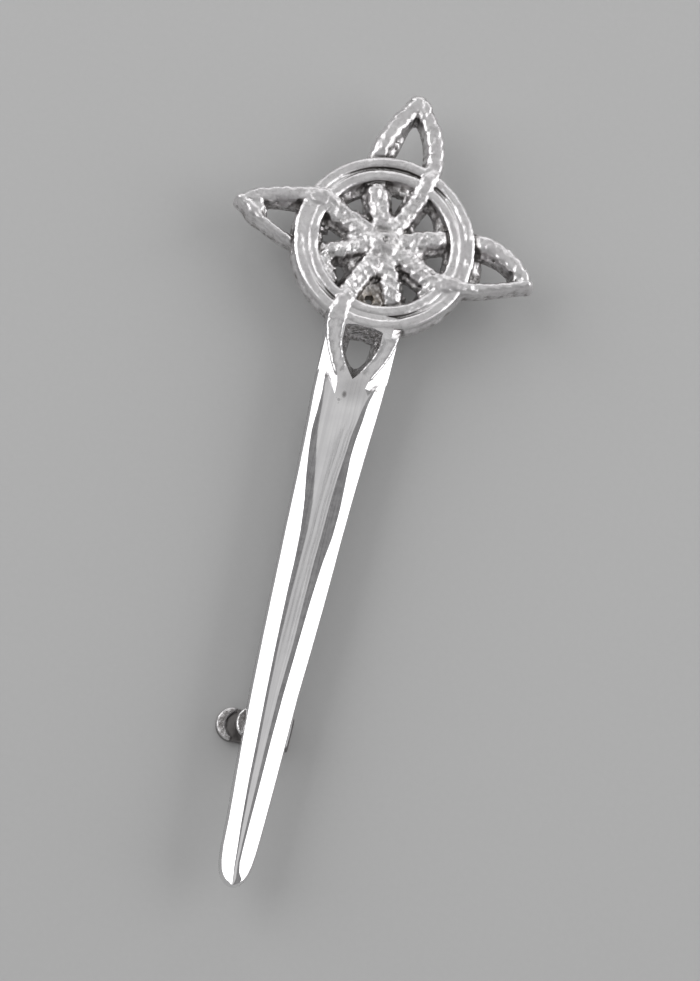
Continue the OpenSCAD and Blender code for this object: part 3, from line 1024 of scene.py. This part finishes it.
# Materials
class Nodes:
    """Short calls for building a material's node tree."""

    def __init__(self, name):
        self.material = bpy.data.materials.new(name)
        self.material.use_nodes = True
        self.tree = self.material.node_tree
        self.shader = self.tree.nodes["Principled BSDF"]

    def add(self, kind, inputs=None, **settings):
        node = self.tree.nodes.new("ShaderNode" + kind)
        for key, value in settings.items():
            setattr(node, key, value)
        for key, value in (inputs or {}).items():
            self.put(node.inputs[key], value)
        return node

    def put(self, socket, value):
        if isinstance(value, bpy.types.NodeSocket):
            self.tree.links.new(value, socket)
        else:
            socket.default_value = value

    def surface(self, name, value):
        self.put(self.shader.inputs[name], value)

    def attribute(self, name):
        return self.add("Attribute", attribute_name=name).outputs["Fac"]

    def math(self, operation, a, b):
        return self.add("Math", {0: a, 1: b}, operation=operation).outputs[0]

    def times(self, a, b):
        return self.math("MULTIPLY", a, b)

    def ramp(self, value, low, high, out_low=0.0, out_high=1.0):
        inputs = {"Value": value, "From Min": low, "From Max": high, "To Min": out_low, "To Max": out_high}
        return self.add("MapRange", inputs).outputs["Result"]

    def vector(self, operation, a, b=(0, 0, 0), output="Vector"):
        return self.add("VectorMath", {0: a, 1: b}, operation=operation).outputs[output]

    def noise(self, pitch, detail, rough, stretch=(1, 1, 1)):
        place = self.add("TexCoord").outputs["Object"]
        scale = self.vector("MULTIPLY", place, stretch)
        inputs = {"Vector": scale, "Scale": 1 / (pitch * MM), "Detail": detail, "Roughness": rough}
        return self.add("TexNoise", inputs).outputs["Fac"]

    def spot(self, x, y, radius, stretch):
        """1 round a place in plan, in mm about the ring's centre, and 0 from a radius on."""
        x, y, _ = to_frame((x, y, 0))
        away = self.vector("SUBTRACT", self.add("TexCoord").outputs["Object"], (x, y, 0))
        away = self.vector("MULTIPLY", away, (stretch, 1, 0))
        gap = self.vector("LENGTH", away, output="Value")
        return self.ramp(gap, 0.3 * radius * MM, radius * MM, 1.0, 0.0)

    def colour(self, factor, a, b):
        node = self.add("Mix", data_type="RGBA")
        self.put(node.inputs[0], factor)
        self.put(node.inputs[6], (*a, 1) if isinstance(a, tuple) else a)
        self.put(node.inputs[7], (*b, 1) if isinstance(b, tuple) else b)
        return node.outputs[2]

    def bump(self, height, distance, strength, normal=None):
        inputs = {"Height": height, "Distance": distance * MM, "Strength": strength}
        if normal:
            inputs["Normal"] = normal
        return self.add("Bump", inputs).outputs["Normal"]


# Colours of the casting
POLISHED = (0.91, 0.90, 0.905)
POLISHED_CLOUD = (0.85, 0.84, 0.85)
POLISHED_STROKE = (0.70, 0.69, 0.70)
# painted shade on the sloping strips and in the grooves
STRIP_SHADE_GREY = (0.46, 0.45, 0.46)
SATIN = (0.92, 0.905, 0.91)
SATIN_CLOUD = (0.74, 0.72, 0.73)
SPOT_GREY = (0.45, 0.435, 0.43)
# painted shade in the holes, on the catch and behind the blade
RECESS_SHADE_GREY = (0.36, 0.345, 0.34)
# painted shade on the walls of holes, mottled between these two greys
WALL_SHADE_DARK = (0.30, 0.285, 0.28)
WALL_SHADE_LIGHT = (0.66, 0.64, 0.64)
# painted shade deep in crevices
CREVICE_SHADE = (0.18, 0.17, 0.165)
BLEMISH_GREY = (0.33, 0.32, 0.32)
STAIN_BROWN = (0.26, 0.225, 0.185)
BLEMISHES = [  # worn places below the lobe: x, y, radius, stretch, strength, unbroken or not
    (-0.48, -17.55, 0.55, 1.5, 1.0, True),
    (-0.9, -18.3, 0.5, 1.0, 0.5, False),
    (0.2, -16.7, 2.2, 1.0, 0.32, True),
    (-2.95, -16.0, 1.1, 2.2, 1.0, False),
    (2.6, -16.3, 0.95, 1.6, 0.9, False),
]


def casting_patterns(n):
    """The painted values and noises that make up the casting's surface."""
    p = {name: n.attribute(name) for name in PAINTED}
    p.update(
        lines=n.noise(0.13, 3.0, 0.6, stretch=(1, 0.02, 0.2)),
        strokes=n.noise(0.45, 2.0, 0.5, stretch=(1, 0.015, 0.2)),
        pebble=n.noise(0.42, 3.0, 0.5),
        grit=n.noise(0.15, 2.0, 0.6),
        blotch=n.noise(0.42, 4.0, 0.65, stretch=(1, 1, 1.8)),
        cloud=n.noise(2.0, 4.0, 0.58),
    )
    # recess broken by blotches: painted shade in the colour, and a duller finish in the roughness
    p["dull"] = n.times(p["recess"], n.ramp(p["blotch"], 0.45, 0.55, 1.0, 0.25))
    p["marks"] = blemish_marks(n)
    return p


def blemish_marks(n):
    fleck = n.ramp(n.noise(0.35, 4.0, 0.6), 0.46, 0.56)
    marks = 0.0
    for x, y, radius, stretch, share, solid in BLEMISHES:
        mark = n.times(n.spot(x, y, radius, stretch), share)
        marks = n.math("MAXIMUM", marks, mark if solid else n.times(mark, fleck))
    return marks


def casting_bumps(n, p):
    """Polishing lines on the blade, and pebbled, pitted and gritty metal on the head."""
    cast, wheel = p["cast"], p["wheel"]
    on_blade = n.ramp(cast, 0, 1, 1.0, 0.0)
    normal = n.bump(p["lines"], 0.006, n.times(on_blade, 0.6))
    normal = n.bump(p["strokes"], 0.010, n.times(on_blade, 0.5), normal)
    normal = n.bump(p["pebble"], 0.06, n.times(cast, n.ramp(wheel, 0, 1, 0.45, 0.85)), normal)
    normal = n.bump(p["grit"], 0.03, n.times(cast, n.ramp(wheel, 0, 1, 0.35, 0.75)), normal)
    return n.bump(p["grit"], 0.10, p["recess"], normal)


def blade_colour(n, p):
    """Polished metal with soft clouds and strokes, and shade painted grey on its strips and groove lines,
    broken by streaks and patches.
    """
    bright = n.colour(n.ramp(p["cloud"], 0.35, 0.7), POLISHED, POLISHED_CLOUD)
    bright = n.colour(n.ramp(p["strokes"], 0.42, 0.62, 0.0, 0.5), bright, POLISHED_STROKE)
    patchy = n.ramp(n.noise(0.7, 4.0, 0.6), 0.4, 0.62, 1.0, 0.55)
    # streaks and patches that break up the strips' painted shade
    streaked_shade = n.times(n.ramp(p["lines"], 0.4, 0.6, 0.55, 1.0), patchy)
    return n.colour(n.times(p["strip"], streaked_shade), bright, STRIP_SHADE_GREY)


def dark_spots(n, p):
    """Spots in the rough metal, with finer ones in the wheel."""
    spots = n.ramp(n.noise(0.6, 5.0, 0.65), 0.52, 0.66, 0.0, 0.4)
    fine = n.ramp(n.noise(0.3, 4.0, 0.6), 0.5, 0.6, 0.0, 0.55)
    return n.times(n.math("MAXIMUM", spots, n.times(p["wheel"], fine)), p["cast"])


def casting_colour(n, p):
    satin = n.colour(n.ramp(p["cloud"], 0.35, 0.65), SATIN, SATIN_CLOUD)
    metal = n.colour(p["cast"], blade_colour(n, p), satin)
    metal = n.colour(dark_spots(n, p), metal, SPOT_GREY)
    # painted shade in the recesses
    metal = n.colour(p["dull"], metal, RECESS_SHADE_GREY)
    walls = n.colour(n.ramp(p["blotch"], 0.45, 0.58), WALL_SHADE_DARK, WALL_SHADE_LIGHT)
    # painted shade where parts crowd round: darkest in crevices, mottled on the walls of holes
    deep = n.ramp(p["cavity"], 0.3, 0.8, 0.0, 0.9)
    metal = n.colour(deep, metal, n.colour(p["recess"], CREVICE_SHADE, walls))
    metal = n.colour(p["marks"], metal, BLEMISH_GREY)
    tarnish = n.times(p["stain"], n.ramp(p["blotch"], 0.35, 0.6, 0.5, 1.0))
    return n.colour(tarnish, metal, STAIN_BROWN)


def casting_roughness(n, p):
    gloss = n.math("ADD", n.ramp(p["cast"], 0, 1, 0.11, 0.27), n.ramp(p["cloud"], 0.3, 0.7, 0.0, 0.04))
    mottle = n.times(n.ramp(p["pebble"], 0.3, 0.7, 0.0, 0.08), p["cast"])
    rough = n.math("ADD", n.math("ADD", gloss, mottle), n.times(p["dull"], 0.15))
    return n.math("ADD", rough, n.times(p["marks"], 0.2))


def casting_material():
    """Bright plated metal: polished on the blade, satin on the head, duller and painted with shade in its
    recesses, crevices and strips.
    """
    n = Nodes("bright_plate")
    p = casting_patterns(n)
    n.surface("Normal", casting_bumps(n, p))
    n.surface("Base Color", casting_colour(n, p))
    n.surface("Roughness", casting_roughness(n, p))
    n.surface("Metallic", 1.0)
    return n.material


def pin_material():
    """Drawn steel wire with fine lines along it."""
    n = Nodes("drawn_steel")
    lines = n.noise(0.08, 3.0, 0.6, stretch=(1, 0.03, 1))
    n.surface("Normal", n.bump(lines, 0.01, 0.6))
    n.surface("Base Color", n.colour(lines, (0.60, 0.60, 0.61), (0.72, 0.72, 0.73)))
    n.surface("Roughness", n.ramp(lines, 0.3, 0.7, 0.26, 0.36))
    n.surface("Metallic", 1.0)
    return n.material


def floor_material():
    n = Nodes("pale_floor")
    n.surface("Base Color", n.colour(n.noise(0.6, 2.0, 0.5), (0.50, 0.50, 0.50), (0.52, 0.52, 0.52)))
    n.surface("Roughness", 0.8)
    n.surface("Specular IOR Level", 0.1)
    return n.material


def dress(obj, material):
    obj.data.materials.clear()
    obj.data.materials.append(material)


# Floor, light and camera, in metres
GROUND_HALF = 1.5
WORLD_LEVEL = 0.32
LIGHT_TARGET = (0, 0, 0.005)
LIGHTS = [  # name, direction from the part, distance, width, height, radiance
    ("left_softbox", (-0.80, 0.15, 0.60), 0.45, 0.46, 0.40, 1.8),
    ("right_softbox", (0.80, 0.22, 0.52), 0.45, 0.46, 0.36, 1.8),
    ("overhead_panel", (0.06, 0.27, 0.96), 0.60, 0.16, 0.40, 0.30),
    ("far_softbox", (0.0, 0.90, 0.45), 0.60, 0.60, 0.30, 1.0),
]
# The photo's camera: the place in its middle, the directions back to it and up it, and its lens
CAMERA_TARGET = (0.00240, -0.00120, 0.0067)
CAMERA_AWAY = (-0.0586, -0.2694, 0.9613)
CAMERA_UP = (-0.2202, 0.9755, 0.0)
CAMERA_DISTANCE = 0.300
FOCAL_PX = 2880
SENSOR_W = 36


def make_floor():
    corners = [(x * GROUND_HALF, y * GROUND_HALF, 0) for x, y in ((-1, -1), (1, -1), (1, 1), (-1, 1))]
    mesh = bpy.data.meshes.new("floor")
    mesh.from_pydata(corners, [], [(0, 1, 2, 3)])
    floor = new_object("floor", mesh)
    dress(floor, floor_material())


def softbox(name, direction, distance, width, height, radiance):
    """A rectangular light of a given radiance, facing the part."""
    light = bpy.data.lights.new(name, "AREA")
    light.shape = "RECTANGLE"
    light.size, light.size_y = width, height
    light.energy = radiance * math.pi * width * height
    lamp = new_object(name, light)
    aim = Vector(direction).normalized()
    lamp.location = Vector(LIGHT_TARGET) + aim * distance
    lamp.rotation_euler = aim.to_track_quat("Z", "Y").to_euler()


def make_world():
    world = bpy.data.worlds.new("studio")
    world.use_nodes = True
    background = world.node_tree.nodes["Background"]
    background.inputs["Color"].default_value = (1, 1, 1, 1)
    background.inputs["Strength"].default_value = WORLD_LEVEL
    bpy.context.scene.world = world


def make_camera():
    away = Vector(CAMERA_AWAY).normalized()
    upright = Vector(CAMERA_UP)
    upright = (upright - away * upright.dot(away)).normalized()
    place = Matrix((upright.cross(away), upright, away)).transposed().to_4x4()
    place.translation = Vector(CAMERA_TARGET) + away * CAMERA_DISTANCE
    camera = new_object("camera", bpy.data.cameras.new("camera"))
    camera.data.sensor_width = SENSOR_W
    camera.data.lens = FOCAL_PX / PHOTO_H * SENSOR_W
    camera.data.clip_start = 0.01
    camera.matrix_world = place
    bpy.context.scene.camera = camera


casting = make_casting()
paint(casting)
dress(casting, casting_material())
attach(casting, "root")
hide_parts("casting")
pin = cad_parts["pin"]
dress(pin, pin_material())

make_floor()
make_world()
for light in LIGHTS:
    softbox(*light)
make_camera()
bpy.context.scene.view_settings.view_transform = "Standard"
